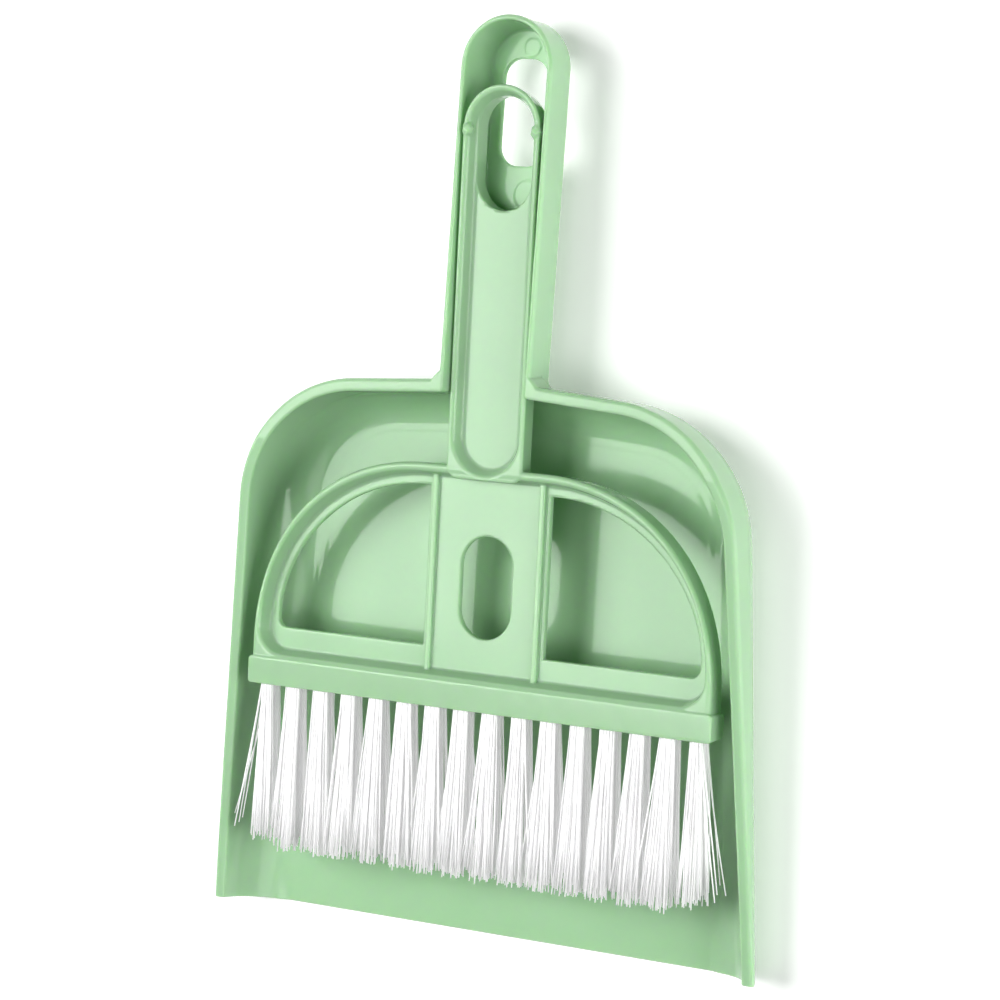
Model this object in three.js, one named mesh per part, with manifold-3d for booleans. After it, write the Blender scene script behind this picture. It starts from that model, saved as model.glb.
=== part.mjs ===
// Hand brush nested in a small dustpan, millimetres, +Z up.
// The pan lies on its floor with the open side up, its lip towards -Y and its handle towards +Y.
// The brush lies in it face up: its handle sits in the channel of the pan's handle.
// Distances along Y are counted from the lip, and the whole group is centred at the end.

import * as THREE from 'three';
import { mergeVertices } from 'three/addons/utils/BufferGeometryUtils.js';
import Module from 'manifold-3d';

// ---- dustpan
const RIM_Z_AT_LIP = 10.85;        // height of the side walls where they end at the lip
const RIM_SLOPE = 0.0866;          // rise of the side walls' rim per millimetre towards the handle
const RIM_Z_AT_BACK = 20.85;       // level rim of the back wall, flush with the handle's rim
const CORNER_X = 34.1;             // centre of the rounded back corners
const CORNER_Y = 97.9;
const CORNER_R = 33.7;
const SIDE_TAPER = THREE.MathUtils.degToRad(4.35);     // the sides spread towards the lip
const SHOULDER_TAPER = THREE.MathUtils.degToRad(3.9);  // the back wall falls away from the handle
const FLOOR_T = 1.8;
const RIM_W = 3.1;                 // width of the rim's face
const WALL_DRAFT = 0.06;           // lean of the walls, sideways per millimetre of height
const OUTER_FILLET = 12.5;         // between floor and walls, outside
const SIDE_FILLET = 10.5;          // between floor and side walls, inside
const BACK_FILLET = 7.5;           // between floor and back wall, inside
const LIP_T = 0.8;                 // the floor is thinned at the lip
const LIP_BEVEL = 14;
const LIP_BEVEL_HALF = 60;
const DRAFT_Z = 20;                // height at which the outline above has its stated size

// ---- reach of the cutting tools
const ABOVE = 28;                  // higher than any wall
const FAR = 260;                   // beyond the object on every side
const PAST = 1;                    // past a face that is cut
const SLIVER = 0.01;               // keeps a tool's end off the face that it cuts
const PAST_LIP = { outside: 10, inside: 20 };          // how far the pan's outlines run on before they are cut

// ---- steps in the curves
const CURVE_STEPS = 18;            // of a back corner or of half the arch
const ROUND_STEPS = 12;            // of a slot's half round
const BEND_STEPS = 6;              // of a fillet or a small corner
const TUFT_SIDES = 8;

// ---- dustpan handle: a channel with a round end
const HANDLE_ROOT_Y = 128;
const HANDLE_END_Y = 206.5;        // centre of the round end
const HANDLE_HALF = 12.35;
const HANDLE_RIM_Z = 20.73;        // height of its rim at HANDLE_REF_Y
const HANDLE_REF_Y = 135;
const HANDLE_SLOPE = -0.0281;      // it falls slightly towards its end
const HANDLE_DEPTH = 11.6;
const HANDLE_DRAFT = 1.0;          // how much narrower the handle is at its back
const HANDLE_EDGE = 1.2;           // rounding of its back edge
const CHANNEL_HALF = 11.1;
const CHANNEL_FLOOR_HALF = 9.3;
const CHANNEL_DEPTH = 10.0;
const CHANNEL_FILLET = 0.8;        // between its floor and its walls
const CHANNEL_MOUTH_Y = 116;
const GUSSET = { reach: 2.8, sink: 1.5, blunt: 0.2 };  // small corner webs where handle and back wall meet
const HANG_SLOT = { half: 6.0, low: 183.8, high: 208.9, corner: 4.6 };

// ---- brush body, in its own frame: z = 0 is the plane of its raised rim
const BRUSH_Z = 17.0;              // that plane's height above the lip
const BRUSH_TILT = Math.atan(0.0111);
const BRUSH_DEPTH = 7.1;
const BLOCK_HALF = 63.4;
const BLOCK_LOW = 55.4;            // underside of the block, where the bristles come out
const BLOCK_HIGH = 62.1;
const BODY_DRAFT = 0.7;
const TOP_EDGE = 0.4;              // bevel of the upper edges
const ARCH_TOP = 113.1;
const ARCH_FLAT = 16;              // half length of the arch's straight top
const ARCH_FOOT = 66;
const ARCH_PULL = { x: 44, y: 93 };    // the control points of its curve: x of the upper, y of the lower one
const RECESS = { halfX: 59.8, low: 64, top: 110, pullX: 42.5, pullY: 91, corner: 5.5 };
const WINDOW = {
  inner: 16.4, halfX: 57.8, low: 69.3, foot: 72, top: 107.5, flat: 18, pullX: 41, pullY: 89, corner: 2.5,
};
const BACK_HOLLOW = { roof: 0.4, mouth: 0.9 };         // how much wider than the recess the underside's hollow is
const PLATE_Z = -3.8;              // face of the thin plate inside the raised rim
const PLATE_T = 1.8;
const RIM_SLANT = 1.2;             // the rim's inner side slants by this much
const RIB = { inner: 13.9, width: 1.4, height: 1.2, sink: 0.5 };   // on the plate, beside its middle panel
const PANEL_SLOT = { half: 7.1, low: 79.3, high: 89.5 };
const GRIP_HALF = 10.4;
const GRIP_DRAFT = 1.7;
const GRIP_START = 111;
const GRIP_END = 192.3;            // centre of its round end
const GRIP_RECESS = { depth: 2.8, rimHalf: 9.1, floorHalf: 7.5, rimLow: 120.5, floorLow: 119.7 };
const GRIP_SLOT = { half: 7.4, low: 180.6, high: 192.5 };
const GRIP_HOLLOW = { half: 7.3, low: 122, high: 164, web: 1.8 };
const NUB = { r: 1.2, reach: 10.65, y: 191.8, z: -1.0 };    // snap nubs on both sides of the grip

// ---- bristle tufts: two rows of bundles set in oblong blind holes
const TUFTS = 16;
const TUFT_PITCH = 7.9;
const TUFT_ROWS = [
  { name: 'front', z: -2.0, tipZ: -1.1 },
  { name: 'rear', z: -5.1, tipZ: -6.1 },
];
const HOLE = { halfX: 2.15, halfZ: 1.35, depth: 5.4 };
const TUFT_ROOT = { halfX: 1.9, halfZ: 1.13 };
const TUFT_TIP = { halfX: 3.8, halfZ: 1.75, y: 16 };
const END_TUFT = { rootHalfX: 1.45, tipHalfX: 3.0, inward: 0.45 };   // the first and last of a row are thinner
const GAP = 0.3;                   // between pieces that touch

const pp = { color: 0xa5cfae, roughness: 0.32, metalness: 0 };
const bristlePlastic = { color: 0xf2f2f0, roughness: 0.45, metalness: 0 };

const wasm = await Module();
wasm.setup();

// ---- solids

function toSolid(geometry) {
  const bare = geometry.index ? geometry.clone() : geometry;
  bare.deleteAttribute('normal');
  bare.deleteAttribute('uv');
  const merged = mergeVertices(bare, 1e-4);
  return new wasm.Manifold(new wasm.Mesh({
    numProp: 3,
    vertProperties: new Float32Array(merged.attributes.position.array),
    triVerts: new Uint32Array(merged.index.array),
  }));
}

function toGeometry(solid) {
  const { vertProperties, triVerts } = solid.getMesh();
  const geometry = new THREE.BufferGeometry();
  geometry.setAttribute('position', new THREE.BufferAttribute(vertProperties, 3));
  geometry.setIndex(new THREE.BufferAttribute(triVerts, 1));
  return geometry;
}

// A closed skin through level outlines, lowest first, that have equally many points.
function loft(levels) {
  const count = levels[0].outline.length;
  const positions = levels.flatMap(({ z, outline }) => outline.flatMap((p) => [p.x, p.y, z]));
  const faces = [];
  for (let level = 0; level < levels.length - 1; level += 1) {
    for (let i = 0; i < count; i += 1) {
      const a = level * count + i;
      const b = level * count + ((i + 1) % count);
      faces.push(a, b, b + count, a, b + count, a + count);
    }
  }
  const top = (levels.length - 1) * count;
  for (const [a, b, c] of THREE.ShapeUtils.triangulateShape(levels[0].outline, [])) faces.push(c, b, a);
  for (const [a, b, c] of THREE.ShapeUtils.triangulateShape(levels.at(-1).outline, [])) {
    faces.push(top + a, top + b, top + c);
  }
  const geometry = new THREE.BufferGeometry();
  geometry.setAttribute('position', new THREE.Float32BufferAttribute(positions, 3));
  geometry.setIndex(faces);
  return geometry;
}

function box(low, high) {
  const size = new THREE.Vector3().subVectors(high, low);
  const geometry = new THREE.BoxGeometry(size.x, size.y, size.z);
  return geometry.translate(low.x + size.x / 2, low.y + size.y / 2, low.z + size.z / 2);
}

// Slides every point up or down in proportion to its y, so a level solid becomes a sloping one.
function slope(geometry, rise, pivotY, z) {
  const shear = new THREE.Matrix4().set(1, 0, 0, 0, 0, 1, 0, 0, 0, rise, 1, z - rise * pivotY, 0, 0, 0, 1);
  return geometry.applyMatrix4(shear);
}

// ---- outlines, counter-clockwise seen from above

function mirrored(rightHalf) {
  const leftHalf = rightHalf.filter((p) => p.x > 0).reverse().map((p) => new THREE.Vector2(-p.x, p.y));
  return [...rightHalf, ...leftHalf];
}

// A slot from y = low to y = high with round ends of their own centres, or only a round far end.
function slotOutline(half, low, high, roundLow = true) {
  const shape = new THREE.Shape();
  shape.absarc(0, high, half, 0, Math.PI, false);
  if (roundLow) shape.absarc(0, low, half, Math.PI, 2 * Math.PI, false);
  else shape.lineTo(-half, low).lineTo(half, low);
  return shape.getPoints(ROUND_STEPS).filter((p, i, all) => i === 0 || p.distanceTo(all[i - 1]) > 1e-6);
}

// A stadium that lies across, for the tuft holes.
function oblongOutline(halfX, halfY) {
  const reach = halfX - halfY;
  const shape = new THREE.Shape();
  shape.absarc(reach, 0, halfY, -Math.PI / 2, Math.PI / 2, false);
  shape.absarc(-reach, 0, halfY, Math.PI / 2, 1.5 * Math.PI, false);
  return shape.getPoints(BEND_STEPS);
}

// The pan's outline seen from above, moved in by one amount at its sides and another at its back.
// It runs on past the lip, where it is cut off later.
function panOutline(side, back, frontY = -PAST_LIP.outside) {
  const radius = CORNER_R - Math.max(side, back);
  const towardSide = CORNER_R - side - radius;
  const towardBack = CORNER_R - back - radius;
  const spread = Math.cos(SIDE_TAPER + SHOULDER_TAPER);
  const centre = new THREE.Vector2(
    CORNER_X + (towardSide * Math.cos(SHOULDER_TAPER) - towardBack * Math.sin(SIDE_TAPER)) / spread,
    CORNER_Y + (towardBack * Math.cos(SIDE_TAPER) - towardSide * Math.sin(SHOULDER_TAPER)) / spread,
  );
  const corner = new THREE.Shape();
  corner.absarc(centre.x, centre.y, radius, SIDE_TAPER, Math.PI / 2 - SHOULDER_TAPER, false);
  const arc = corner.getPoints(CURVE_STEPS);
  const sideX = (y) => arc[0].x + (arc[0].y - y) * Math.tan(SIDE_TAPER);
  const peakY = arc.at(-1).y + arc.at(-1).x * Math.tan(SHOULDER_TAPER);
  return mirrored([new THREE.Vector2(sideX(frontY), frontY), ...arc, new THREE.Vector2(0, peakY)]);
}

// Half of the brush's arch: a straight top that bends down into an upright foot.
function archHalf({ halfX, top, flat, pullX, pullY, foot }) {
  const curve = new THREE.CubicBezierCurve(
    new THREE.Vector2(halfX, foot),
    new THREE.Vector2(halfX, pullY),
    new THREE.Vector2(pullX, top),
    new THREE.Vector2(flat, top),
  );
  return curve.getPoints(CURVE_STEPS);
}

function bodyOutline(inset) {
  const arch = archHalf({
    halfX: BLOCK_HALF - inset,
    top: ARCH_TOP - inset,
    flat: ARCH_FLAT,
    pullX: ARCH_PULL.x,
    pullY: ARCH_PULL.y,
    foot: ARCH_FOOT,
  });
  return mirrored([new THREE.Vector2(BLOCK_HALF - inset, BLOCK_LOW), ...arch]);
}

// The inside of the raised rim, with round corners just above the block.
function recessOutline(grow) {
  const { corner, pullX, pullY } = RECESS;
  const halfX = RECESS.halfX + grow;
  const low = RECESS.low - grow;
  const arch = archHalf({ halfX, top: RECESS.top + grow / 3, flat: ARCH_FLAT, pullX, pullY, foot: low + corner });
  const bend = new THREE.Shape();
  bend.absarc(halfX - corner, low + corner, corner, -Math.PI / 2, 0, false);
  return mirrored([...bend.getPoints(BEND_STEPS).slice(0, -1), ...arch]);
}

// The right-hand window, D-shaped; the left one is its mirror image.
function windowOutline() {
  const { inner, halfX, low, top, corner } = WINDOW;
  const bend = new THREE.Shape();
  bend.absarc(halfX - corner, low + corner, corner, -Math.PI / 2, 0, false);
  return [
    new THREE.Vector2(inner, low),
    ...bend.getPoints(BEND_STEPS),
    ...archHalf(WINDOW).slice(1),
    new THREE.Vector2(inner, top),
  ];
}

// ---- dustpan

function filletLevels(radius, floorZ, inset) {
  const levels = [];
  for (let i = 0; i <= BEND_STEPS; i += 1) {
    const turn = (i / BEND_STEPS) * (Math.PI / 2);
    levels.push({ z: floorZ + radius * (1 - Math.cos(turn)), inset: inset + radius * (1 - Math.sin(turn)) });
  }
  return levels;
}

function makeDustpan() {
  const lean = (z) => WALL_DRAFT * Math.max(DRAFT_Z - z, 0);

  const outerLevels = filletLevels(OUTER_FILLET, 0, 0).map(({ z, inset }) => {
    const d = inset + lean(z);
    return { z, outline: panOutline(d, d) };
  });
  outerLevels.push({ z: ABOVE, outline: panOutline(0, 0) });

  const sides = filletLevels(SIDE_FILLET, FLOOR_T, RIM_W);
  const backs = filletLevels(BACK_FILLET, FLOOR_T, RIM_W);
  const innerLevels = sides.map(({ z, inset }, i) => ({
    z,
    outline: panOutline(inset + lean(z), backs[i].inset + lean(z), -PAST_LIP.inside),
  }));
  innerLevels.push({ z: ABOVE + PAST, outline: panOutline(RIM_W, RIM_W, -PAST_LIP.inside) });

  const corner = new THREE.Vector3(FAR, FAR, FAR);
  const aboveRim = slope(box(new THREE.Vector3(-FAR, -FAR, 0), corner), RIM_SLOPE, 0, RIM_Z_AT_LIP);
  const aboveBack = box(new THREE.Vector3(-FAR, -FAR, RIM_Z_AT_BACK), corner);
  const beforeLip = box(new THREE.Vector3(-FAR, -FAR, -FAR), new THREE.Vector3(FAR, 0, FAR));
  const bevel = slope(
    box(
      new THREE.Vector3(-LIP_BEVEL_HALF, -PAST, 0),
      new THREE.Vector3(LIP_BEVEL_HALF, LIP_BEVEL, FLOOR_T),
    ),
    (FLOOR_T - LIP_T) / LIP_BEVEL, 0, LIP_T,
  );

  const handleOutline = (inset) => slotOutline(HANDLE_HALF - inset, HANDLE_ROOT_Y, HANDLE_END_Y, false);
  const handle = slope(loft([
    { z: -HANDLE_DEPTH, outline: handleOutline(HANDLE_DRAFT + HANDLE_EDGE) },
    { z: -HANDLE_DEPTH + HANDLE_EDGE / 3, outline: handleOutline(HANDLE_DRAFT + HANDLE_EDGE / 3) },
    { z: -HANDLE_DEPTH + HANDLE_EDGE, outline: handleOutline(HANDLE_DRAFT) },
    { z: 0, outline: handleOutline(0) },
  ]), HANDLE_SLOPE, HANDLE_REF_Y, HANDLE_RIM_Z);

  const channelOutline = (half) => slotOutline(half, CHANNEL_MOUTH_Y, HANDLE_END_Y, false);
  const widen = (CHANNEL_HALF - CHANNEL_FLOOR_HALF) / CHANNEL_DEPTH;
  const over = ABOVE - HANDLE_RIM_Z;
  const channel = slope(loft([
    { z: -CHANNEL_DEPTH, outline: channelOutline(CHANNEL_FLOOR_HALF - CHANNEL_FILLET) },
    { z: -CHANNEL_DEPTH + CHANNEL_FILLET, outline: channelOutline(CHANNEL_FLOOR_HALF) },
    { z: over, outline: channelOutline(CHANNEL_HALF + over * widen) },
  ]), HANDLE_SLOPE, HANDLE_REF_Y, HANDLE_RIM_Z);

  const { half, low, high, corner: bend } = HANG_SLOT;
  const slot = new THREE.Shape();
  slot.absarc(half - bend, low + bend, bend, -Math.PI / 2, 0, false);
  slot.absarc(half - bend, high - bend, bend, 0, Math.PI / 2, false);
  slot.absarc(bend - half, high - bend, bend, Math.PI / 2, Math.PI, false);
  slot.absarc(bend - half, low + bend, bend, Math.PI, 1.5 * Math.PI, false);
  const hangSlot = new THREE.ExtrudeGeometry(slot, { depth: ABOVE, bevelEnabled: false, curveSegments: BEND_STEPS });

  const wallY = panOutline(0, 0).find((p) => p.x === 0).y - HANDLE_HALF * Math.tan(SHOULDER_TAPER);
  const gussets = [-1, 1].map((side) => {
    const web = new THREE.Shape([
      new THREE.Vector2(side * (HANDLE_HALF - GUSSET.sink), wallY - GUSSET.sink),
      new THREE.Vector2(side * (HANDLE_HALF + GUSSET.reach), wallY - GUSSET.sink),
      new THREE.Vector2(side * (HANDLE_HALF + GUSSET.reach), wallY - GUSSET.blunt),
      new THREE.Vector2(side * HANDLE_HALF, wallY + GUSSET.reach - GUSSET.blunt),
      new THREE.Vector2(side * (HANDLE_HALF - GUSSET.sink), wallY + GUSSET.reach - GUSSET.blunt),
    ]);
    const depth = RIM_Z_AT_BACK - OUTER_FILLET;
    return new THREE.ExtrudeGeometry(web, { depth, bevelEnabled: false }).translate(0, 0, OUTER_FILLET);
  });

  const shell = toSolid(loft(outerLevels))
    .subtract(toSolid(aboveRim))
    .subtract(toSolid(aboveBack))
    .subtract(toSolid(beforeLip));
  return gussets
    .reduce((solid, gusset) => solid.add(toSolid(gusset)), shell.add(toSolid(handle)))
    .subtract(toSolid(loft(innerLevels)))
    .subtract(toSolid(bevel))
    .subtract(toSolid(channel))
    .subtract(toSolid(hangSlot));
}

// ---- brush

const tuftX = (index) => (index - (TUFTS - 1) / 2) * TUFT_PITCH;

function makeBrushBody() {
  const under = -BRUSH_DEPTH;
  // both mouldings' sides lean in towards the underside, and a small bevel closes them on top
  const leaning = (outline, draft) => loft([
    { z: under, outline: outline(draft) },
    { z: -TOP_EDGE, outline: outline(draft * TOP_EDGE / BRUSH_DEPTH) },
    { z: 0, outline: outline(TOP_EDGE) },
  ]);
  const body = leaning(bodyOutline, BODY_DRAFT);
  const grip = leaning((inset) => slotOutline(GRIP_HALF - inset, GRIP_START, GRIP_END, false), GRIP_DRAFT);
  const nubs = [-1, 1].map((side) => {
    const nub = new THREE.SphereGeometry(NUB.r, 12, 8);
    return toSolid(nub.translate(side * (NUB.reach - NUB.r), NUB.y, NUB.z));
  });

  const faceRecess = loft([
    { z: PLATE_Z, outline: recessOutline(0) },
    { z: PAST, outline: recessOutline(RIM_SLANT) },
  ]);
  const backHollow = loft([
    { z: under - PAST, outline: recessOutline(BACK_HOLLOW.mouth) },
    { z: PLATE_Z - PLATE_T, outline: recessOutline(BACK_HOLLOW.roof) },
  ]);
  const through = { depth: BRUSH_DEPTH + 2 * PAST, bevelEnabled: false };
  const pierce = (outline) => new THREE.ExtrudeGeometry(new THREE.Shape(outline), through)
    .translate(0, 0, under - PAST);
  const rightWindow = windowOutline();
  const leftWindow = rightWindow.map((p) => new THREE.Vector2(-p.x, p.y)).reverse();
  const panelSlot = slotOutline(PANEL_SLOT.half, PANEL_SLOT.low, PANEL_SLOT.high);
  const gripSlot = slotOutline(GRIP_SLOT.half, GRIP_SLOT.low, GRIP_SLOT.high);
  const gripRecess = loft([
    { z: -GRIP_RECESS.depth, outline: slotOutline(GRIP_RECESS.floorHalf, GRIP_RECESS.floorLow, GRIP_END) },
    { z: SLIVER, outline: slotOutline(GRIP_RECESS.rimHalf, GRIP_RECESS.rimLow, GRIP_END) },
  ]);
  const hollow = slotOutline(GRIP_HOLLOW.half, GRIP_HOLLOW.low, GRIP_HOLLOW.high);
  const gripHollow = loft([
    { z: under - PAST, outline: hollow },
    { z: -GRIP_RECESS.depth - GRIP_HOLLOW.web, outline: hollow },
  ]);

  let solid = toSolid(body)
    .subtract(toSolid(faceRecess))
    .subtract(toSolid(backHollow))
    .add(toSolid(grip));
  for (const nub of nubs) solid = solid.add(nub);
  for (const side of [-1, 1]) {
    const middle = side * (RIB.inner + RIB.width / 2);
    const low = new THREE.Vector3(middle - RIB.width / 2, BLOCK_HIGH, PLATE_Z - RIB.sink);
    const high = new THREE.Vector3(middle + RIB.width / 2, ARCH_TOP - RIM_W / 2, PLATE_Z + RIB.height);
    solid = solid.add(toSolid(box(low, high)));
  }
  for (const tool of [rightWindow, leftWindow, panelSlot, gripSlot]) {
    solid = solid.subtract(toSolid(pierce(tool)));
  }
  solid = solid.subtract(toSolid(gripRecess)).subtract(toSolid(gripHollow));
  const holeShape = new THREE.Shape(oblongOutline(HOLE.halfX, HOLE.halfZ));
  for (const row of TUFT_ROWS) {
    for (let i = 0; i < TUFTS; i += 1) {
      const hole = new THREE.ExtrudeGeometry(holeShape, { depth: HOLE.depth + PAST, bevelEnabled: false });
      hole.rotateX(-Math.PI / 2).translate(tuftX(i), BLOCK_LOW - PAST, row.z);
      solid = solid.subtract(toSolid(hole));
    }
  }
  return solid;
}

// One bundle of filaments as a plain solid: oblong in its hole, fanned out flat at the tips.
// Built standing up, root at the top, then laid down so that it points along -Y.
function makeTuft(row, rootHalfX, tipHalfX) {
  const ring = (halfX, halfZ, shift) => Array.from({ length: TUFT_SIDES }, (_, i) => {
    const turn = ((i + 0.5) / TUFT_SIDES) * 2 * Math.PI;
    return new THREE.Vector2(halfX * Math.cos(turn), halfZ * Math.sin(turn) + shift);
  });
  const length = BLOCK_LOW - TUFT_TIP.y;
  const drift = row.tipZ - row.z;
  const root = ring(rootHalfX, TUFT_ROOT.halfZ, 0);
  const tip = ring(tipHalfX, TUFT_TIP.halfZ, -drift);
  const bundle = loft([
    { z: -length, outline: tip },
    { z: 0, outline: root },
    { z: HOLE.depth - GAP, outline: root },
  ]);
  return bundle.rotateX(-Math.PI / 2);
}

// ---- the assembly

function addMesh(parent, name, geometry, look) {
  const mesh = new THREE.Mesh(geometry, new THREE.MeshStandardMaterial(look));
  mesh.name = name;
  parent.add(mesh);
  return mesh;
}

const group = new THREE.Group();
addMesh(group, 'dustpan', toGeometry(makeDustpan()), pp);

const brush = new THREE.Group();
brush.position.z = BRUSH_Z;
brush.rotation.x = BRUSH_TILT;
group.add(brush);
addMesh(brush, 'brush_body', toGeometry(makeBrushBody()), pp);
for (const row of TUFT_ROWS) {
  for (let i = 0; i < TUFTS; i += 1) {
    const number = String(i + 1).padStart(2, '0');
    const end = Number(i === 0) - Number(i === TUFTS - 1);
    const bundle = end
      ? makeTuft(row, END_TUFT.rootHalfX, END_TUFT.tipHalfX)
      : makeTuft(row, TUFT_ROOT.halfX, TUFT_TIP.halfX);
    const tuft = addMesh(brush, `bristle_tuft_${row.name}_${number}`, bundle, bristlePlastic);
    tuft.position.set(tuftX(i) + end * END_TUFT.inward, BLOCK_LOW, row.z);
  }
}

const extent = new THREE.Box3().setFromObject(group);
group.position.y = -(extent.min.y + extent.max.y) / 2;

export default group;
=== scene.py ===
import math
import random

import bpy
import numpy as np
from mathutils import Matrix, Vector


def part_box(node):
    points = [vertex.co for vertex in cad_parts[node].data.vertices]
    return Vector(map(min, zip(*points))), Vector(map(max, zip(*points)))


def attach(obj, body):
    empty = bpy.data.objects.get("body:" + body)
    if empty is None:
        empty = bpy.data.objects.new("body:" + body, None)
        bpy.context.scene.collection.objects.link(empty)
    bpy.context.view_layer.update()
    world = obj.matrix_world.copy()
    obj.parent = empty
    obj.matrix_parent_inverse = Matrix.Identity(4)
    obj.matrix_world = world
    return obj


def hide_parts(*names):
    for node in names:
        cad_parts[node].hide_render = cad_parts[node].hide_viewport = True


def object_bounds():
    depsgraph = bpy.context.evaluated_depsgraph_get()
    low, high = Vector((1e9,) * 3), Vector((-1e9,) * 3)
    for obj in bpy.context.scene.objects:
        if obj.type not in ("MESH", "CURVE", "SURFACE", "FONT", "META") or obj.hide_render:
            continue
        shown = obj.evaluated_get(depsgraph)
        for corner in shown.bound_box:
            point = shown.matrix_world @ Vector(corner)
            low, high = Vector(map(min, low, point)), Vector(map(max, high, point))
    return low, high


# Dustpan with a hand brush nested in it. Shapes are written in millimetres, with y counted from the pan's lip,
# and every point is then put where the CAD frame has it.

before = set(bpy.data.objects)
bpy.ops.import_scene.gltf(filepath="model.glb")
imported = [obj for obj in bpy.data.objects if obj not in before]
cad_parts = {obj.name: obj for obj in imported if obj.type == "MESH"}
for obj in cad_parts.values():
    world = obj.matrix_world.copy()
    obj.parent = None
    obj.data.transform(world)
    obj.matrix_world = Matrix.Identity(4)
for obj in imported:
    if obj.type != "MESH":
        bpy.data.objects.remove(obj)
cad_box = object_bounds()

MM = 0.001
LIP_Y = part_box("dustpan")[0].y / MM            # where the lip is in the frame
GRID_SCALE = 1.0        # coarser surfaces while trying things

# ---- dustpan, as in the CAD source
CORNER, CORNER_R = (34.1, 97.9), 33.7
SIDE_TAPER = math.radians(4.35)
SHOULDER_TAPER = math.radians(3.9)
RIM_AT_LIP, RIM_RISE, RIM_AT_BACK = 10.85, 0.0866, 20.85
RIM_W = 3.1
WALL_LEAN, DRAFT_Z = 0.06, 20
FLOOR_T = 1.8
LIP_T, LIP_BEVEL, LIP_BEVEL_ENDS = 0.8, 14, (62, 58)
OUTER_FILLET, SIDE_FILLET, BACK_FILLET = 12.5, 10.5, 7.5
HANDLE_RIM, HANDLE_REF_Y, HANDLE_FALL = 20.73, 135, -0.0281
HANDLE_HALF, HANDLE_ROOT_Y, HANDLE_END_Y = 12.35, 128, 206.5
HANDLE_DEPTH, HANDLE_DRAFT, HANDLE_EDGE = 11.6, 1.0, 1.2
WEB_W, WEB_SLANT_W, WEB_SLANT_Y = 2.0, 2.3, 132.9
WEB_START_Y, WEB_END_Y, WEB_FOOT_Z = 131, 135.2, 14
CHANNEL_FLOOR_HALF, CHANNEL_WIDEN, CHANNEL_DEPTH, CHANNEL_MOUTH_Y = 9.3, 0.18, 10.0, 116
HANG_SLOT = (6.0, 183.8, 208.9, 4.6)           # half width, low, high, corner radius

# what moulding adds to the dustpan
BAND_H, BAND_START = 0.07, (24, 34)            # raised band round the floor, and where it fades in
BAND_INSIDE, BAND_OUTSIDE = (2.2, 0.9), (1.9, 0.6)   # where its slopes start and end, from the fillet's edge
PINS, PIN_H, PIN_SLOPE = ((1.4, 211.7, 2.1), (2.6, 177.2, 3.4)), 0.14, 0.35   # ejector marks: x, y, radius
HANDLE_FILLET, WEB_FILLET, CHANNEL_FILLET, CHANNEL_MOUTH_FILLET = 2.2, 0.3, 0.7, 0.9
RIM_OUTER_EDGE, RIM_INNER_EDGE, WEB_EDGE, LIP_EDGE = 1.1, 0.55, 0.6, 0.3

# ---- brush, in its own frame: z = 0 is the plane of its raised rim
BRUSH_Z, BRUSH_TILT = 17.0, math.atan(0.0111)
BRUSH_DEPTH, BODY_DRAFT = 7.1, 0.7
BLOCK_HALF, BLOCK_LOW, BLOCK_HIGH = 63.4, 55.4, 62.1
ARCH_IN, ARCH_BASE, ARCH_FOOT = 0.7, 1, 66     # the arch stands in from the block's ends by ARCH_IN
ARCH_TOP, ARCH_FLAT, ARCH_PULL = 113.1, 16, (44, 93)
DISH_HALF, DISH_LOW, DISH_FOOT, DISH_CORNER = 59.8, 64, 69.5, 5.5
DISH_TOP, DISH_PULL = 110, (42.5, 91)
WINDOW_IN, WINDOW_HALF, WINDOW_LOW, WINDOW_FOOT, WINDOW_CORNER = 16.4, 57.8, 69.3, 72, 2.5
WINDOW_TOP, WINDOW_FLAT, WINDOW_PULL = 107.5, 18, (41, 89)
PLATE_Z, PLATE_T, RIM_SLANT, UNDER_WIDER = -3.8, 1.8, 1.2, 0.4
PANEL_SLOT, PANEL_SLOT_R = (79.3, 89.5), 7.1
RIB_INNER, RIB_W, RIB_H, RIB_SUNK, RIB_SHORT = 13.9, 1.4, 1.2, 0.5, 2
GRIP_HALF, GRIP_DRAFT, GRIP_START, GRIP_END = 10.4, 1.7, 111, 192.3
GRIP_FOOT, GRIP_FOOT_LOW, GRIP_FOOT_HIGH, GRIP_FOOT_CORNER = 3, 1.2, 200, 3.2
GRIP_OVERLAP, FAR_BELOW = 2.5, 40
RECESS_DEPTH, RECESS_HALF, RECESS_RIM_HALF, RECESS_LOW = 2.8, 7.5, 9.1, 120
GRIP_SLOT, GRIP_SLOT_R = (180.6, 192.5), 7.4
BACK_HOLLOW, BACK_HOLLOW_R, GRIP_WALL = (122, 164), 7.3, 1.8
NUB_X, NUB_Y, NUB_Z, NUB_R, NUB_LENGTHEN = 9.2, 191.8, -0.65, 1.3, 0.8
TUFTS, TUFT_PITCH, HOLE_R, HOLE_LONG, HOLE_DEPTH = 16, 7.9, 1.35, 0.8, 5.4

# what moulding adds to the brush
BLOCK_SIDE_GAP, BLOCK_DRAFT, BLOCK_PROUD, BLOCK_CORNER = 0.05, 0.6, 0.32, 0.9
SINK_DEPTH, SINK_Y, SINK_FADE = 0.006, 58.3, (3.2, 0.8)
NUB_UNEVEN, NUB_WAVES = 0.12, (4.1, 3.7)
ARCH_EDGE, DISH_EDGE, GRIP_EDGE, RECESS_EDGE = 1.15, 0.75, 0.75, 0.6
BLOCK_EDGE, RIB_EDGE, HOLE_EDGE = 0.45, 0.45, 0.2
DISH_FILLET, RECESS_FILLET, RIB_FILLET, GRIP_FILLET, BLOCK_FILLET = 0.5, 0.6, 0.25, 0.35, 0.3

OPENING_EDGE = 0.35                            # slots and windows
SHARP_EDGE = 0.3                               # the brush's underside and what is cut into it

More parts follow.
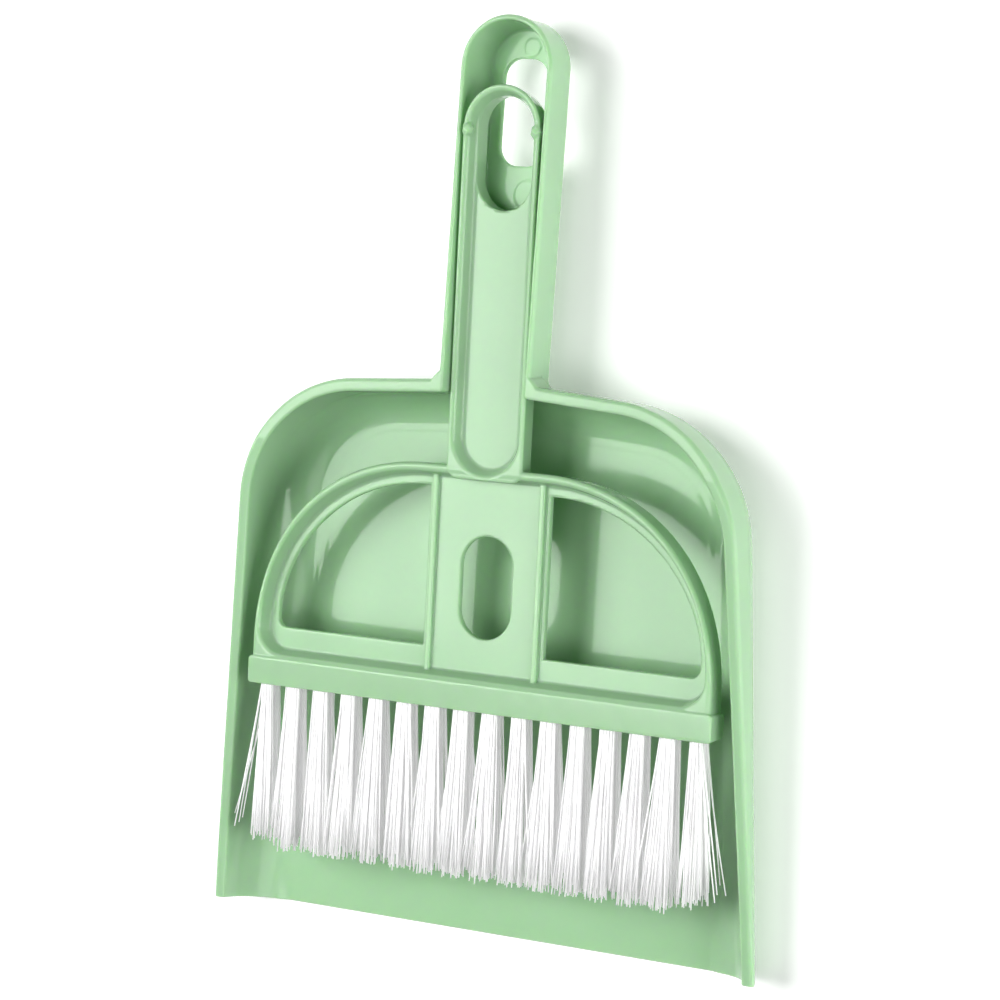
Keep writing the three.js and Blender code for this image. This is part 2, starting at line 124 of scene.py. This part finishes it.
# ---- bristles
ROWS = {"front": (-2.0, -1.1), "rear": (-5.1, -6.1)}   # z at the hole and at the tips
FILAMENTS, FILAMENT_SIDES, FILAMENT_R, TIP_THINNER = 60, 5, (0.17, 0.21), 0.8
ROOT_HALF, ROOT_HALF_Z, ROOT_OFF_BED = 1.92, 1.1, 0.7
TIP_HALF, TIP_HALF_Z, TIP_Y, TIP_CROWN = 3.7, 1.9, 16.7, 0.9
END_FILAMENTS, END_ROOT_HALF, END_TIP_HALF, END_SHORTER, END_SHIFT = 44, 1.45, 3.0, 1.8, 0.45   # the end tufts
LEAN, RAGGED = 0.8, (-1.9, 2.3)                # RAGGED is how far a tip ends from TIP_Y
SCATTER, BOW = (0.4, 0.25), (0.22, 0.18)       # spreads in x and z, of the tips and of the bend
STRAY_SHARE, STRAY_BY = 0.11, 3.0
SPLAY_BEYOND, SPLAY_BY, SPLAY_SHORTER = 0.78, (1.5, 5.5), 1.5
FAN_POWER = 1.12                               # over 1, so filaments leave the hole straight and fan out later
GOLDEN_ANGLE, TURN_JITTER = 2.39996, 0.3
MOUTH_AT = 0.12                                # the hole's mouth, as a share of a filament's length
STATIONS = (0.0, MOUTH_AT, 0.3, 0.5, 0.72, 1.0)


# ---- distance fields: below zero inside, in millimetres

def join(a, b, r):
    """Union, with a fillet of radius r where the two meet."""
    return np.maximum(r, np.minimum(a, b)) - np.hypot(np.maximum(r - a, 0), np.maximum(r - b, 0))


def meet(a, b, r):
    """What both hold, with the edge between them rounded to radius r."""
    return np.minimum(-r, np.maximum(a, b)) + np.hypot(np.maximum(r + a, 0), np.maximum(r + b, 0))


def cut(a, tool, r):
    """a without the tool, with the new edge rounded to radius r."""
    return meet(a, -tool, r)


def smooth(low, high, v):
    """0 at low rising smoothly to 1 at high. It falls where low is above high."""
    t = np.clip((v - low) / (high - low), 0, 1)
    return t * t * (3 - 2 * t)


def capsule(x, y, low, high):
    """Distance to the line from low to high on the y axis."""
    return np.hypot(x, y - np.clip(y, low, high))


def rounded_box(x, y, half, low, high, r):
    u = np.abs(x) - half + r
    v = np.abs(y - (low + high) / 2) - (high - low) / 2 + r
    return np.hypot(np.maximum(u, 0), np.maximum(v, 0)) + np.minimum(np.maximum(u, v), 0) - r


def pan_outline(x, y):
    """Signed distance to the pan's outline, and 1 beside its sides falling to 0 beside its back."""
    u, v = np.abs(x) - CORNER[0], y - CORNER[1]
    side = u * math.cos(SIDE_TAPER) + v * math.sin(SIDE_TAPER)
    back = u * math.sin(SHOULDER_TAPER) + v * math.cos(SHOULDER_TAPER)
    turn = np.arctan2(v, u)
    span = math.pi / 2 - SHOULDER_TAPER - SIDE_TAPER
    share = np.clip((turn - SIDE_TAPER) / span, 0, 1)
    in_corner = (turn > SIDE_TAPER) & (turn < SIDE_TAPER + span)
    return np.where(in_corner, np.hypot(u, v), np.maximum(side, back)) - CORNER_R, 1 - share


def floor_top(x, y, inset, fillet, beside_side):
    """Height of the pan's floor: thin at the lip, with a narrow raised band round its flat."""
    thinned = (FLOOR_T - LIP_T) * np.clip(1 - y / LIP_BEVEL, 0, 1) * smooth(*LIP_BEVEL_ENDS, np.abs(x))
    edge = np.where(beside_side, SIDE_FILLET, fillet)
    band = smooth(edge - BAND_INSIDE[0], edge - BAND_INSIDE[1], inset)
    band = band * smooth(edge + BAND_OUTSIDE[0], edge + BAND_OUTSIDE[1], inset) * smooth(*BAND_START, y)
    return FLOOR_T - thinned + BAND_H * band


def dustpan(x, y, z, _):
    outline, sideways = pan_outline(x, y)
    wall = outline + WALL_LEAN * np.maximum(DRAFT_Z - z, 0)
    up = z - (HANDLE_RIM + HANDLE_FALL * (y - HANDLE_REF_Y))      # height above the handle's rim

    shell = meet(wall, -z, OUTER_FILLET)
    axis = capsule(x, y, HANDLE_ROOT_Y, HANDLE_END_Y)
    handle_side = np.where(y < HANDLE_ROOT_Y, np.abs(x), axis) - HANDLE_HALF
    handle = meet(handle_side - HANDLE_DRAFT * up / HANDLE_DEPTH, -up - HANDLE_DEPTH, HANDLE_EDGE)
    handle = np.maximum(handle, HANDLE_ROOT_Y - y)
    solid = join(shell, handle, HANDLE_FILLET)
    # a small web stands in each corner between the handle and the back wall
    web = np.abs(x) + (y - WEB_SLANT_Y) - HANDLE_HALF - WEB_SLANT_W
    web = meet(meet(web, np.abs(x) - HANDLE_HALF - WEB_W, WEB_EDGE), y - WEB_END_Y, WEB_EDGE)
    solid = join(solid, np.maximum(np.maximum(web, WEB_START_Y - y), WEB_FOOT_Z - z), WEB_FILLET)

    rim = np.minimum(np.minimum(RIM_AT_LIP + RIM_RISE * y, RIM_AT_BACK), z - up)
    solid = meet(solid, (z - rim) / math.hypot(1, RIM_RISE), RIM_OUTER_EDGE)

    fillet = BACK_FILLET + (SIDE_FILLET - BACK_FILLET) * sideways
    floor = floor_top(x, y, -wall - RIM_W, fillet, sideways > 0.99)
    hollow = meet(wall + RIM_W, floor - z, fillet)

    spine = capsule(x, y, CHANNEL_MOUTH_Y, HANDLE_END_Y)
    pins = np.minimum(*(np.hypot(x - pin_x, y - pin_y) - r for pin_x, pin_y, r in PINS))
    bed = -CHANNEL_DEPTH + PIN_H * smooth(PIN_SLOPE, -PIN_SLOPE, pins)
    channel_side = spine - CHANNEL_FLOOR_HALF - CHANNEL_WIDEN * (up + CHANNEL_DEPTH)
    channel = np.maximum(meet(channel_side, bed - up, CHANNEL_FILLET), CHANNEL_MOUTH_Y - y)
    hollow = join(hollow, channel, CHANNEL_MOUTH_FILLET)
    solid = cut(solid, hollow, RIM_INNER_EDGE)
    solid = cut(solid, rounded_box(x, y, *HANG_SLOT), OPENING_EDGE)
    return meet(solid, -y, LIP_EDGE)


def brush_body(x, y, z, fields):
    outline, dish_outline, window = fields
    draft = BODY_DRAFT * -z / BRUSH_DEPTH
    arch = meet(meet(outline + draft, z, ARCH_EDGE), -z - BRUSH_DEPTH, SHARP_EDGE)
    dish = meet(dish_outline - RIM_SLANT * (z - PLATE_Z) / -PLATE_Z, PLATE_Z - z, DISH_FILLET)
    arch = cut(arch, dish, DISH_EDGE)
    under = meet(dish_outline - UNDER_WIDER, z - PLATE_Z + PLATE_T, DISH_FILLET)
    arch = cut(arch, under, SHARP_EDGE)

    ribs = meet(np.abs(np.abs(x) - RIB_INNER - RIB_W / 2) - RIB_W / 2, z - PLATE_Z - RIB_H, RIB_EDGE)
    ribs = np.maximum(ribs, PLATE_Z - RIB_SUNK - z)
    ribs = np.maximum(ribs, np.maximum(BLOCK_HIGH - y, y - ARCH_TOP + RIB_SHORT))
    arch = join(arch, ribs, RIB_FILLET)
    arch = cut(arch, window, OPENING_EDGE)
    arch = cut(arch, capsule(x, y, *PANEL_SLOT) - PANEL_SLOT_R, OPENING_EDGE)

    # the block stands a little proud of the arch; sink marks follow its holes
    sinks = SINK_DEPTH * np.cos(2 * math.pi * x / TUFT_PITCH) * smooth(*SINK_FADE, np.abs(y - SINK_Y))
    block = rounded_box(x, y, BLOCK_HALF - BLOCK_SIDE_GAP, BLOCK_LOW, BLOCK_HIGH, BLOCK_CORNER) + draft * BLOCK_DRAFT
    block = meet(meet(block, z - BLOCK_PROUD + sinks, BLOCK_EDGE), -z - BRUSH_DEPTH, SHARP_EDGE)
    solid = join(arch, block, BLOCK_FILLET)

    foot = rounded_box(x, y, GRIP_HALF, GRIP_START - GRIP_FOOT_LOW, GRIP_FOOT_HIGH, GRIP_FOOT_CORNER)
    axis = capsule(x, y, GRIP_START + GRIP_FOOT, GRIP_END)
    side = np.where(y < GRIP_START + GRIP_FOOT, foot, axis - GRIP_HALF)
    grip = meet(meet(side - GRIP_DRAFT * z / BRUSH_DEPTH, z, GRIP_EDGE), -z - BRUSH_DEPTH, SHARP_EDGE)
    # over the arch the grip only rises from the plate; beyond it, it has its full depth
    grip = np.maximum(grip, PLATE_Z - z - FAR_BELOW * (y > ARCH_TOP - GRIP_OVERLAP))
    solid = join(solid, grip, GRIP_FILLET)

    line = capsule(x, y, RECESS_LOW, GRIP_END)
    widen = (RECESS_RIM_HALF - RECESS_HALF) * (z + RECESS_DEPTH) / RECESS_DEPTH
    solid = cut(solid, meet(line - RECESS_HALF - widen, -RECESS_DEPTH - z, RECESS_FILLET), RECESS_EDGE)
    solid = cut(solid, capsule(x, y, *GRIP_SLOT) - GRIP_SLOT_R, SHARP_EDGE)
    hollow = capsule(x, y, *BACK_HOLLOW) - BACK_HOLLOW_R
    solid = cut(solid, meet(hollow, z + RECESS_DEPTH + GRIP_WALL, DISH_FILLET), SHARP_EDGE)

    # snap nubs, slightly uneven, as they come from the mould
    nub = np.sqrt((np.abs(x) - NUB_X) ** 2 + ((y - NUB_Y) * NUB_LENGTHEN) ** 2 + (z - NUB_Z) ** 2) - NUB_R
    nub = nub + NUB_UNEVEN * np.sin(NUB_WAVES[0] * x) * np.sin(NUB_WAVES[1] * y + 1.0)
    solid = join(solid, nub, GRIP_FILLET)

    column = x / TUFT_PITCH - 0.5
    nearest = np.clip(np.round(column), -TUFTS / 2, TUFTS / 2 - 1) + 0.5
    across = x - nearest * TUFT_PITCH
    for hole_z, _ in ROWS.values():
        hole = np.hypot(np.maximum(np.abs(across) - HOLE_LONG, 0), z - hole_z) - HOLE_R
        hole = np.maximum(hole, y - BLOCK_LOW - HOLE_DEPTH)
        solid = cut(solid, hole, HOLE_EDGE)
    return solid


# ---- outlines that are measured from points: x >= 0 only, the other side mirrors it

def bezier(points, steps=110):
    p = np.array(points, float)
    t = np.linspace(0, 1, steps)[:, None]
    return (1 - t) ** 3 * p[0] + 3 * (1 - t) ** 2 * t * p[1] + 3 * (1 - t) * t * t * p[2] + t ** 3 * p[3]


def arch_half(half_x, top, flat, pull, foot):
    return bezier([(half_x, foot), (half_x, pull[1]), (pull[0], top), (flat, top)])


def lower_corner(half_x, low, r, steps=14):
    """The round corner where the bottom line at y = low turns up into the side at half_x."""
    turn = np.radians(np.linspace(-90, 0, steps))
    return np.column_stack([half_x - r + r * np.cos(turn), low + r + r * np.sin(turn)])[:-1]


def outline_field(points, closed=False):
    """Distance to this line and its slope, at (|x|, y). An open line starts and ends on the y axis."""
    points = np.asarray(points, float)
    ring = np.vstack([points, points[:1]])
    a, e = ring[:-1], np.diff(ring, axis=0)
    drawn = len(a) if closed else len(a) - 1
    normal = np.column_stack([e[:, 1], -e[:, 0]]) / np.maximum(np.hypot(*e.T), 1e-9)[:, None]
    length2 = np.maximum((e ** 2).sum(1), 1e-12)
    at_once = 2048                               # points per round, to bound the memory

    def field(at):
        near, slope = np.empty(len(at)), np.empty((len(at), 2))
        for start in range(0, len(at), at_once):
            part = slice(start, start + at_once)
            q = at[part].copy()
            sign = np.where(q[:, 0] < 0, -1.0, 1.0)
            q[:, 0] *= sign
            off = q[:, None] - a[None]
            crosses = (a[:, 1] > q[:, 1:]) != (ring[1:, 1] > q[:, 1:])
            with np.errstate(divide="ignore", invalid="ignore"):
                meets = a[:, 0] + e[:, 0] * off[..., 1] / e[:, 1]
            inside = (crosses & (q[:, :1] < meets)).sum(1) % 2 == 1
            off = off[:, :drawn]
            t = np.clip((off * e[:drawn]).sum(-1) / length2[:drawn], 0, 1)
            gap = off - t[..., None] * e[:drawn]
            d2 = (gap ** 2).sum(-1)
            k = d2.argmin(1)
            rows = np.arange(len(q))
            d = np.sqrt(d2[rows, k])
            way = np.where(inside, -1.0, 1.0)
            away = gap[rows, k] / np.maximum(d, 1e-9)[:, None] * way[:, None]
            away = np.where((d > 1e-3)[:, None], away, normal[k])
            away[:, 0] *= sign
            near[part] = d * way
            slope[part] = away
        return near, slope

    return field


def brush_outlines():
    arch_end = BLOCK_HALF - ARCH_IN
    body = np.vstack([
        [(0, BLOCK_LOW + ARCH_BASE), (arch_end, BLOCK_LOW + ARCH_BASE)],
        arch_half(arch_end, ARCH_TOP, ARCH_FLAT, ARCH_PULL, ARCH_FOOT),
        [(0, ARCH_TOP)],
    ])
    dish = np.vstack([
        [(0, DISH_LOW)],
        lower_corner(DISH_HALF, DISH_LOW, DISH_CORNER),
        arch_half(DISH_HALF, DISH_TOP, ARCH_FLAT, DISH_PULL, DISH_FOOT),
        [(0, DISH_TOP)],
    ])
    window = np.vstack([
        [(WINDOW_IN, WINDOW_LOW)],
        lower_corner(WINDOW_HALF, WINDOW_LOW, WINDOW_CORNER),
        arch_half(WINDOW_HALF, WINDOW_TOP, WINDOW_FLAT, WINDOW_PULL, WINDOW_FOOT),
        [(WINDOW_IN, WINDOW_TOP)],
    ])
    return [outline_field(body), outline_field(dish), outline_field(window, closed=True)]


# ---- a skin round a distance field

def skin(axes, solid, outlines=()):
    """Vertices, their normals and quads of the surface where solid() is zero.

    The grid's steps may differ along an axis."""
    xs, ys, zs = axes
    shape = tuple(len(a) for a in axes)
    plane = np.stack(np.meshgrid(xs, ys, indexing="ij"), -1).reshape(-1, 2)
    fields = [o(plane)[0].reshape(shape[0], shape[1], 1) for o in outlines]
    value = solid(xs[:, None, None], ys[None, :, None], zs[None, None, :], fields)
    value = np.broadcast_to(value, shape)
    points, faces = net(axes, value)

    def measure(p):
        """The field and its gradient at each point."""
        found = [o(p[:, :2]) for o in outlines]
        flat, slopes = [f[0] for f in found], [f[1] for f in found]
        base = solid(*p.T, flat)
        h = 0.01                                 # half of the distance that a slope is taken over
        gradient = np.empty_like(p)
        for axis in range(3):
            ends = []
            for way in (h, -h):
                q = p.copy()
                q[:, axis] += way
                shifted = [f + way * s[:, axis] for f, s in zip(flat, slopes)] if axis < 2 else flat
                ends.append(solid(*q.T, shifted))
            gradient[:, axis] = (ends[0] - ends[1]) / (2 * h)
        return base, gradient

    rounds, least_steep, longest_step = 3, 0.2, 0.35
    for _ in range(rounds):                      # each round brings the points closer to zero
        base, gradient = measure(points)
        steep = np.maximum((gradient ** 2).sum(1), least_steep)
        step = -(base / steep)[:, None] * gradient
        size = np.maximum(np.linalg.norm(step, axis=1), 1e-9)
        points = points + step * np.minimum(1, longest_step / size)[:, None]
    _, gradient = measure(points)
    normals = gradient / np.maximum(np.linalg.norm(gradient, axis=1), 1e-9)[:, None]
    return points, normals, faces


def net(axes, value):
    """A point in each grid cell that the surface passes through, and a quad round each grid edge that it crosses."""
    shape = value.shape
    inside = value < 0
    cells = tuple(n - 1 for n in shape)
    total, count = np.zeros((math.prod(cells), 3)), np.zeros(math.prod(cells))
    quads = []
    for axis in range(3):
        b, c = (axis + 1) % 3, (axis + 2) % 3
        low, high = [slice(None)] * 3, [slice(None)] * 3
        low[axis], high[axis] = slice(0, -1), slice(1, None)
        v0, v1 = value[tuple(low)], value[tuple(high)]
        at = np.argwhere(inside[tuple(low)] != inside[tuple(high)])
        at = at[(at[:, b] > 0) & (at[:, b] < shape[b] - 1) & (at[:, c] > 0) & (at[:, c] < shape[c] - 1)]
        a0, a1 = v0[tuple(at.T)], v1[tuple(at.T)]
        t = a0 / (a0 - a1)
        point = np.column_stack([axes[k][at[:, k]] for k in range(3)])
        point[:, axis] += t * (axes[axis][at[:, axis] + 1] - axes[axis][at[:, axis]])
        around = []
        for db, dc in ((-1, -1), (0, -1), (0, 0), (-1, 0)):
            cell = at.copy()
            cell[:, b] += db
            cell[:, c] += dc
            flat = np.ravel_multi_index(tuple(cell.T), cells)
            np.add.at(total, flat, point)
            np.add.at(count, flat, 1)
            around.append(flat)
        quad = np.column_stack(around)
        quads.append(np.where((a0 < 0)[:, None], quad, quad[:, ::-1]))
    used = np.flatnonzero(count)
    index = np.full(len(count), -1)
    index[used] = np.arange(len(used))
    return total[used] / count[used, None], index[np.vstack(quads)].tolist()


def spaced(*spans):
    """Grid lines through spans of (from, to, step)."""
    lines = []
    for start, stop, step in spans:
        n = max(1, round((stop - start) / (step * GRID_SCALE)))
        lines.extend(np.linspace(start, stop, n + 1)[:-1])
    return np.array(lines + [spans[-1][1]])


def both_sides(*spans):
    right = spaced(*spans)
    return np.concatenate([-right[:0:-1], right])


# ---- pieces

def to_frame(points):
    out = np.array(points, float)
    out[:, 1] += LIP_Y
    return out * MM


brush_turn = np.array(Matrix.Rotation(BRUSH_TILT, 3, "X"))


def from_brush(points):
    out = np.array(points, float) @ brush_turn.T
    out[:, 2] += BRUSH_Z
    return out


def piece(name, points, faces, body, nodes, material, normals=None):
    mesh = bpy.data.meshes.new(name)
    mesh.from_pydata(to_frame(points).tolist(), [], faces)
    mesh.validate()
    mesh.shade_smooth()
    if normals is not None:
        mesh.normals_split_custom_set_from_vertices(normals.tolist())
    mesh.materials.append(material)
    obj = bpy.data.objects.new(name, mesh)
    bpy.context.scene.collection.objects.link(obj)
    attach(obj, body)
    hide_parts(*nodes)


def filament_tuft(index, row, seed):
    """One bundle of filaments, rooted in its hole and fanned out towards the tips, in the brush's frame."""
    draw = random.Random(seed)
    hole_z, tip_z = ROWS[row]
    outer = (index == 0) - (index == TUFTS - 1)                   # +1 at the left end, -1 at the right end
    cx = (index - (TUFTS - 1) / 2) * TUFT_PITCH + END_SHIFT * outer
    lean = draw.uniform(-LEAN, LEAN)
    root_half, tip_half, shorter = (END_ROOT_HALF, END_TIP_HALF, END_SHORTER) if outer else (ROOT_HALF, TIP_HALF, 0)
    count = END_FILAMENTS if outer else FILAMENTS
    points, faces = [], []
    for k in range(count):
        reach = math.sqrt((k + 0.5) / count)
        turn = k * GOLDEN_ANGLE + draw.uniform(-TURN_JITTER, TURN_JITTER)
        u, v = reach * math.cos(turn), reach * math.sin(turn)
        root = Vector((cx + root_half * u, BLOCK_LOW + HOLE_DEPTH - ROOT_OFF_BED, hole_z + ROOT_HALF_Z * v))
        mouth = Vector((root.x, BLOCK_LOW, root.z))
        stray = draw.random() < STRAY_SHARE
        tip = Vector((
            cx + tip_half * u + lean + draw.gauss(0, SCATTER[0]) + (draw.uniform(-STRAY_BY, STRAY_BY) if stray else 0),
            TIP_Y + draw.uniform(*RAGGED) + TIP_CROWN * u * u + shorter,
            tip_z + TIP_HALF_Z * v + draw.gauss(0, SCATTER[1]),
        ))
        if outer and u * outer < -SPLAY_BEYOND:                   # a few splay out at the ends of the row
            tip.x -= outer * draw.uniform(*SPLAY_BY)
            tip.y += SPLAY_SHORTER
        bow = Vector((draw.gauss(0, BOW[0]), 0, draw.gauss(0, BOW[1])))
        radius = draw.uniform(*FILAMENT_R)
        base = len(points)
        for station in STATIONS:
            centre = root
            if station > 0:
                share = (station - MOUTH_AT) / (1 - MOUTH_AT)
                centre = mouth.lerp(tip, share)
                fan = share ** FAN_POWER
                centre.x = mouth.x + (tip.x - mouth.x) * fan + bow.x * math.sin(math.pi * share)
                centre.z = mouth.z + (tip.z - mouth.z) * fan + bow.z * math.sin(math.pi * share)
            r = radius * (1 if station < 1 else TIP_THINNER)
            for corner in range(FILAMENT_SIDES):
                a = 2 * math.pi * corner / FILAMENT_SIDES + turn
                points.append((centre.x + r * math.cos(a), centre.y, centre.z + r * math.sin(a)))
        last = base + (len(STATIONS) - 1) * FILAMENT_SIDES
        for ring in range(base, last, FILAMENT_SIDES):
            for corner in range(FILAMENT_SIDES):
                a, b = ring + corner, ring + (corner + 1) % FILAMENT_SIDES
                faces.append((a, b, b + FILAMENT_SIDES, a + FILAMENT_SIDES))
        faces.append(tuple(range(base + FILAMENT_SIDES - 1, base - 1, -1)))
        faces.append(tuple(range(last, last + FILAMENT_SIDES)))
    return np.array(points), faces


# ---- materials

def node_material(name):
    material = bpy.data.materials.new(name)
    material.use_nodes = True
    tree = material.node_tree
    return material, tree, tree.nodes["Principled BSDF"]


def noise(tree, scale, detail=3.0, roughness=0.5, stretch=None):
    vector = tree.nodes.new("ShaderNodeTexCoord").outputs["Object"]
    node = tree.nodes.new("ShaderNodeTexNoise")
    node.inputs["Scale"].default_value = scale
    node.inputs["Detail"].default_value = detail
    node.inputs["Roughness"].default_value = roughness
    if stretch:
        mapping = tree.nodes.new("ShaderNodeMapping")
        mapping.inputs["Scale"].default_value = stretch
        tree.links.new(vector, mapping.inputs["Vector"])
        vector = mapping.outputs["Vector"]
    tree.links.new(vector, node.inputs["Vector"])
    return node.outputs["Fac"]


def ramp(tree, fac, *stops):
    """Colours, or plain numbers, at positions along fac."""
    node = tree.nodes.new("ShaderNodeValToRGB")
    elements = node.color_ramp.elements
    while len(elements) < len(stops):
        elements.new(0.5)
    for element, (position, colour) in zip(elements, stops):
        element.position = position
        element.color = (*colour, 1) if isinstance(colour, tuple) else (colour, colour, colour, 1)
    tree.links.new(fac, node.inputs["Fac"])
    return node.outputs["Color"]


def mint_plastic():
    """Glossy moulded polypropylene: even colour with faint clouds and flow lines, and a soft orange peel."""
    material, tree, shader = node_material("mint_pp")
    link = tree.links.new
    darker, paler = (0.400, 0.590, 0.392), (0.420, 0.612, 0.412)
    clouds = noise(tree, 22, 4)
    link(ramp(tree, clouds, (0.3, darker), (0.7, paler)), shader.inputs["Base Color"])
    flow = noise(tree, 60, 5, 0.6, (3.0, 0.35, 1.0))
    link(ramp(tree, flow, (0.3, 0.07), (0.7, 0.13)), shader.inputs["Roughness"])
    peel = noise(tree, 900, 2)
    bump = tree.nodes.new("ShaderNodeBump")
    bump.inputs["Strength"].default_value = 0.025
    bump.inputs["Distance"].default_value = 0.0002
    link(peel, bump.inputs["Height"])
    link(bump.outputs["Normal"], shader.inputs["Normal"])
    shader.inputs["IOR"].default_value = 1.46
    shader.inputs["Specular IOR Level"].default_value = 0.33
    shader.inputs["Subsurface Weight"].default_value = 0.85
    shader.inputs["Subsurface Radius"].default_value = (0.7, 1.0, 0.5)
    shader.inputs["Subsurface Scale"].default_value = 0.0025
    return material


def bristle_plastic():
    """White extruded filaments, each a slightly different white, with gloss that varies along them and a weak painted
    glow.
    """
    material, tree, shader = node_material("bristle_white")
    link = tree.links.new
    each = tree.nodes.new("ShaderNodeNewGeometry").outputs["Random Per Island"]
    whites = ramp(tree, each, (0.0, (0.90, 0.90, 0.91)), (0.5, (0.96, 0.96, 0.96)), (1.0, (0.98, 0.98, 0.98)))
    link(whites, shader.inputs["Base Color"])
    along = noise(tree, 350, 3, 0.5, (1, 0.2, 1))
    link(ramp(tree, along, (0.35, 0.25), (0.65, 0.45)), shader.inputs["Roughness"])
    shader.inputs["IOR"].default_value = 1.5
    # painted glow: a weak white emission stands in for the light that translucent filaments pass on to each other
    shader.inputs["Emission Color"].default_value = (1, 1, 1, 1)
    shader.inputs["Emission Strength"].default_value = 0.12
    return material


def floor_material():
    material, tree, shader = node_material("floor")
    tree.links.new(ramp(tree, noise(tree, 6, 2), (0.3, 0.90), (0.7, 0.92)), shader.inputs["Base Color"])
    shader.inputs["Roughness"].default_value = 0.7
    # a lit sweep, so shadows on it stay pale
    shader.inputs["Emission Color"].default_value = (1, 1, 1, 1)
    shader.inputs["Emission Strength"].default_value = 0.22
    return material


# ---- the object; the grids are finer where the surface turns

pp = mint_plastic()
white = bristle_plastic()

pan_grid = (
    both_sides((0, 7, 0.4), (7, 16.5, 0.55), (16.5, 33, 1.4), (33, 49, 0.9), (49, 67, 0.3), (67, 79, 0.6)),
    spaced((-1.2, 3, 0.4), (3, 15, 1.2), (15, 94, 1.2), (94, 100, 0.8),
           (100, 140, 0.55), (140, 172, 1.6), (172, 220.2, 0.45)),
    spaced((-1.2, 22.4, 0.42)),
)
points, normals, faces = skin(pan_grid, dustpan)
piece("pan_moulding", points, faces, "pan", ["dustpan"], pp, normals)

brush_grid = (
    both_sides((0, 17, 0.4), (17, 65.2, 0.5)),
    spaced((54, 74, 0.4), (74, 118, 0.5), (118, 128, 0.5), (128, 176, 1.4), (176, 204.4, 0.45)),
    spaced((-8.2, 2.2, 0.4)),
)
points, normals, faces = skin(brush_grid, brush_body, brush_outlines())
piece("brush_moulding", from_brush(points), faces, "brush", ["brush_body"], pp, normals @ brush_turn.T)

for row in ROWS:
    for i in range(TUFTS):
        number = f"{row}_{i + 1:02d}"
        points, faces = filament_tuft(i, row, 100 * (row == "rear") + i)
        piece(f"bristles_{number}", from_brush(points), faces, "brush", [f"bristle_tuft_{number}"], white)


# ---- floor, camera and light, in metres

FLOOR_HALF, FLOOR_DROP = 6.0, 0.0002
VIEW_FROM = (99.17, 59.62)                     # azimuth and elevation, in degrees
VIEW_TARGET, VIEW_DISTANCE = (0.0002, -0.0042, 0.010), 0.9188
VIEW_UP = (-0.08959, 0.99513, -0.04113)
LENS, SENSOR = 140.2, 36


def make_floor():
    half = FLOOR_HALF
    mesh = bpy.data.meshes.new("floor")
    mesh.from_pydata([(-half, -half, 0), (half, -half, 0), (half, half, 0), (-half, half, 0)], [], [(0, 1, 2, 3)])
    mesh.materials.append(floor_material())
    obj = bpy.data.objects.new("floor", mesh)
    obj.location.z = cad_box[0].z - FLOOR_DROP
    bpy.context.scene.collection.objects.link(obj)


def direction(azimuth, elevation):
    a, e = math.radians(azimuth), math.radians(elevation)
    return Vector((math.sin(a) * math.cos(e), -math.cos(a) * math.cos(e), math.sin(e)))


def make_camera():
    data = bpy.data.cameras.new("camera")
    data.lens, data.sensor_width = LENS, SENSOR
    data.clip_start, data.clip_end = 0.05, 20
    camera = bpy.data.objects.new("camera", data)
    back = direction(*VIEW_FROM)
    right = Vector(VIEW_UP).cross(back).normalized()
    up = back.cross(right)
    turn = Matrix((right, up, back)).transposed().to_4x4()
    camera.matrix_world = Matrix.Translation(Vector(VIEW_TARGET) + back * VIEW_DISTANCE) @ turn
    bpy.context.scene.collection.objects.link(camera)
    bpy.context.scene.camera = camera


def softbox(name, place, size, power):
    data = bpy.data.lights.new(name, "AREA")
    data.shape, data.size, data.size_y = "RECTANGLE", size[0], size[1]
    data.energy = power
    obj = bpy.data.objects.new(name, data)
    obj.location = place
    obj.rotation_mode = "QUATERNION"
    obj.rotation_quaternion = Vector(place).to_track_quat("Z", "Y")
    bpy.context.scene.collection.objects.link(obj)


make_floor()
make_camera()
softbox("key", (-0.47, 0.11, 0.80), (0.58, 0.66), 8.8)
softbox("fill", (0.25, -0.35, 1.25), (0.7, 0.7), 3.7)
softbox("right", (1.3, -0.1, 0.42), (0.6, 0.9), 13.0)

world = bpy.data.worlds.new("studio")
world.use_nodes = True
background = world.node_tree.nodes["Background"]
background.inputs["Color"].default_value = (1, 1, 1, 1)
background.inputs["Strength"].default_value = 0.06
bpy.context.scene.world = world
bpy.context.scene.view_settings.view_transform = "Standard"
bpy.context.scene.view_settings.gamma = 0.85
